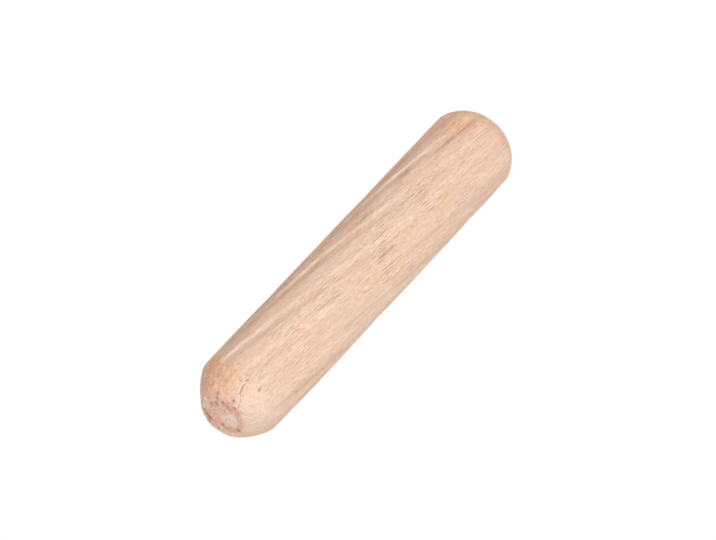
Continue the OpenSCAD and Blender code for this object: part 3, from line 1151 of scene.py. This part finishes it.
# %% End grain material
def end_grain():
    """Wood sawn across its fibres."""
    material, tree, shader = new_material("end_grain")
    point = grain_point(tree)
    cloud = streaks(tree, point, 0.70, 0.70, 7.0, 3.0)
    blotch = streaks(tree, point, 0.24, 0.24, 8.0, 3.0)
    tuft = streaks(tree, point, 0.11, 0.11, 9.0, 2.0)
    vessel = vessels(tree, point, spacing=0.26, length=5.0, thickness=0.22)

    tone = maths(tree, "MULTIPLY", remap(tree, cloud, 0.40, 0.64), 0.55)
    tone = maths(tree, "ADD", tone, maths(tree, "MULTIPLY", remap(tree, blotch, 0.42, 0.62), 0.55))
    late = maths(tree, "MULTIPLY", late_wood(tree, point), 0.1)
    tone = maths(tree, "ADD", tone, late, clamp=True)
    colour = blend_colour(tree, tone, END_GROUND, END_LATE)
    colour = tint(tree, colour, vessel, 0.30, BRUISE)
    for name, amount, other in [("rose", 0.8, ROSE_BRUISE), ("brown", 0.85, BRUISE),
                                ("chalk", 0.9, CHALK)]:
        colour = tint(tree, colour, mask(tree, name), amount, other)
    side_share = maths(tree, "SUBTRACT", 1.0, mask(tree, "cut"))
    colour = tint(tree, colour, side_share, 0.8, GROUND)
    colour = shade_by(tree, colour, swing(tree, tuft, 0.92, 1.08))

    height = maths(tree, "SUBTRACT", tuft, maths(tree, "MULTIPLY", vessel, 0.5))
    dull = swing(tree, tuft, 0.78, 0.92)
    shader.inputs["Specular IOR Level"].default_value = 0.2
    dress(tree, shader, colour, dull, height, bump_depth=0.06)
    return material


# %% [markdown]
# ## Dressing the pin
# The two faces get the end grain, and so does the row of quads between a face and the taper beside
# it. All the other quads get the side grain, and the mask of the sawn face blends the two colours
# over that border. The mesh stands for the plain pin of the frame and moves with its only body.

# %% Dress the pin
pin.data.materials.append(side_grain())
pin.data.materials.append(end_grain())
face_of_ring = np.isin(ring_zone, (LOW_FACE, TOP_FACE))
between = (face_of_ring[:-1] | face_of_ring[1:]).astype(int)
slots = np.concatenate([np.repeat(between, AROUND), np.ones(2 * AROUND, int)])
pin.data.polygons.foreach_set("material_index", slots)
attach(pin, "root")
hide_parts("dowel_pin")
print("end-grain faces:", int(slots.sum()))

# %% [markdown]
# ## Floor, light and camera
# Bare wood looks best in broad light with one clear direction. A large soft lamp a little to one
# side of the front picks out the walls of the grooves. A room that is brighter in front than behind
# lets the sides fall away, and two weaker lamps behind keep the back alive. The floor is plain and
# pale. The camera sees it nearly white, but it still takes the pin's shadow.

# %% Floor
FLOOR_SIZE = 3.0
FLOOR_GAP = 0.01 * MM
PAPER_GREY = 0.85
PAPER_GLOW = 1.03
CAMERA_WHITE = 0.94


def make_floor():
    """A plain pale floor that the camera sees almost white."""
    half = FLOOR_SIZE / 2
    mesh = bpy.data.meshes.new("floor")
    corners = [(-half, -half, -FLOOR_GAP), (half, -half, -FLOOR_GAP),
               (half, half, -FLOOR_GAP), (-half, half, -FLOOR_GAP)]
    mesh.from_pydata(corners, [], [(0, 1, 2, 3)])
    floor = link_to_scene(bpy.data.objects.new("floor", mesh))
    material = bpy.data.materials.new("floor_paper")
    material.use_nodes = True
    tree = material.node_tree
    tree.nodes.clear()
    paper = put(tree, "ShaderNodeBsdfDiffuse", {"Color": (PAPER_GREY, PAPER_GREY, PAPER_GREY, 1)})
    glow = put(tree, "ShaderNodeEmission", {"Color": (1, 1, 1, 1), "Strength": PAPER_GLOW})
    rays = put(tree, "ShaderNodeLightPath")
    seen = maths(tree, "MAXIMUM", rays.outputs["Is Camera Ray"], rays.outputs["Is Glossy Ray"])
    share = maths(tree, "MULTIPLY", seen, CAMERA_WHITE)
    mixed = put(tree, "ShaderNodeMixShader", {0: share, 1: paper.outputs[0], 2: glow.outputs[0]})
    put(tree, "ShaderNodeOutputMaterial", {"Surface": mixed.outputs[0]})
    mesh.materials.append(material)


make_floor()
print(f"floor {FLOOR_SIZE:.0f} m wide")

# %% World
ROOM_BEHIND = 0.29
ROOM_IN_FRONT = 0.69
ROOM_BLEND = 0.7


def make_world():
    """A room that is brightest in front, which the camera sees as white."""
    world = bpy.data.worlds.new("room")
    world.use_nodes = True
    tree = world.node_tree
    tree.nodes.clear()
    rays = put(tree, "ShaderNodeLightPath")
    spot = put(tree, "ShaderNodeTexCoord").outputs["Generated"]
    ahead = (math.cos(FRONT), math.sin(FRONT), 0)
    towards = put(tree, "ShaderNodeVectorMath", {0: spot, 1: ahead}, operation="DOT_PRODUCT")
    light = remap(tree, towards.outputs["Value"], -ROOM_BLEND, ROOM_BLEND, ROOM_BEHIND, ROOM_IN_FRONT)
    strength = maths(tree, "MAXIMUM", light, rays.outputs["Is Camera Ray"])
    room = put(tree, "ShaderNodeBackground", {"Color": (1, 1, 1, 1), "Strength": strength})
    put(tree, "ShaderNodeOutputWorld", {"Surface": room.outputs[0]})
    bpy.context.scene.world = world


make_world()
print(f"room: {ROOM_IN_FRONT} in front and {ROOM_BEHIND} behind")

# %% Lamps
MIDDLE = Vector((0, 0, LENGTH / 2 * MM))


def from_front(turn, rise):
    """Unit direction, in degrees round from the front and above the floor."""
    around, above = FRONT + math.radians(turn), math.radians(rise)
    return Vector((math.cos(around) * math.cos(above), math.sin(around) * math.cos(above),
                   math.sin(above)))


def lamp(name, turn, rise, distance, size, power):
    """A square soft lamp that looks at the middle of the pin."""
    light = bpy.data.lights.new(name, "AREA")
    light.size = size
    light.energy = power
    made = bpy.data.objects.new(name, light)
    direction = from_front(turn, rise)
    made.location = MIDDLE + direction * distance
    made.rotation_euler = direction.to_track_quat("Z", "Y").to_euler()
    link_to_scene(made)
    print(f"{name} lamp: {power} W, {size} m wide")


lamp("key", turn=-14, rise=38, distance=0.5, size=0.28, power=1.07)
lamp("back", turn=150, rise=40, distance=0.6, size=0.5, power=0.50)
lamp("rear", turn=200, rise=12, distance=0.6, size=0.25, power=0.42)

# %% [markdown]
# The camera looks down on the standing pin from the front and is rolled, so that the pin seems to
# lie. It has a long lens and stands half a metre away, so that the pin's sides look parallel.

# %% Camera
VIEW_TURN = 0.0
VIEW_RISE = 35.0
VIEW_ROLL = 136.73
VIEW_DISTANCE = 0.50
VIEW_WIDTH = 61.22 * MM
SENSOR = 36.0
SHIFT_RIGHT = 0.0031
SHIFT_UP = 0.0047
NEAREST = 0.01
view = from_front(VIEW_TURN, VIEW_RISE)
camera_data = bpy.data.cameras.new("camera")
camera_data.sensor_width = SENSOR
camera_data.lens = SENSOR * VIEW_DISTANCE / VIEW_WIDTH
camera_data.shift_x = SHIFT_RIGHT
camera_data.shift_y = SHIFT_UP
camera_data.clip_start = NEAREST
camera = link_to_scene(bpy.data.objects.new("camera", camera_data))
level = view.to_track_quat("Z", "Y").to_matrix()
rolled = level @ Matrix.Rotation(-math.radians(VIEW_ROLL), 3, "Z")
camera.matrix_world = Matrix.Translation(MIDDLE + view * VIEW_DISTANCE) @ rolled.to_4x4()
bpy.context.scene.camera = camera
bpy.context.scene.view_settings.view_transform = "Standard"
print(f"camera {camera_data.lens:.0f} mm, {VIEW_RISE:.0f} degrees above the floor")
